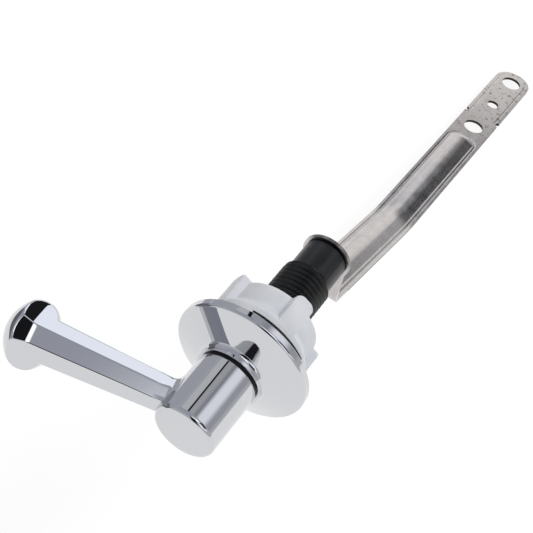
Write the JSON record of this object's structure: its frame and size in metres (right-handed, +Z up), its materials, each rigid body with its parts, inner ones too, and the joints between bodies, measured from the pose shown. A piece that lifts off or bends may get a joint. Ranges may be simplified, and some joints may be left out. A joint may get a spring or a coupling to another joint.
{
  "type": "cistern lever",
  "caption": "Toilet cistern trip lever with a chromed eight-sided handle, coned escutcheon, threaded bush, winged nut and a bent steel arm with chain holes.",
  "frame": {"origin": "on the shaft where the outer face of the cistern wall meets the back of the flange", "axes": "+Y along the shaft into the cistern, -X along the handle, +Z up as the lever sits with the handle level"},
  "size_m": [0.075, 0.2481, 0.0785],
  "materials": {
    "chrome_plate": "mirror",
    "plated_steel": "satin",
    "spindle_brass": "satin",
    "dark_nylon": "matte",
    "black_plastic": "satin",
    "white_plastic": "satin",
    "arm_steel": "satin"
  },
  "bodies": {
    "mounting": {"threaded_body": "black_plastic", "escutcheon": "chrome_plate", "hub_washer": "dark_nylon"},
    "lever": {"handle": "chrome_plate", "grub_screw": "plated_steel", "spindle": "spindle_brass", "lever_arm": "arm_steel", "lock_washer": "plated_steel", "arm_screw": "plated_steel"},
    "nut": {"mounting_nut": "white_plastic"}
  },
  "joints": [
    {"name": "lever_turn", "type": "hinge", "parent": "mounting", "child": "lever", "pos_m": [0, 0, 0], "axis": [0, -1, 0], "range_deg": [0, 40]},
    {"name": "nut_travel", "type": "slide", "parent": "mounting", "child": "nut", "axis": [0, 1, 0], "range_m": [0, 0.014]}
  ]
}
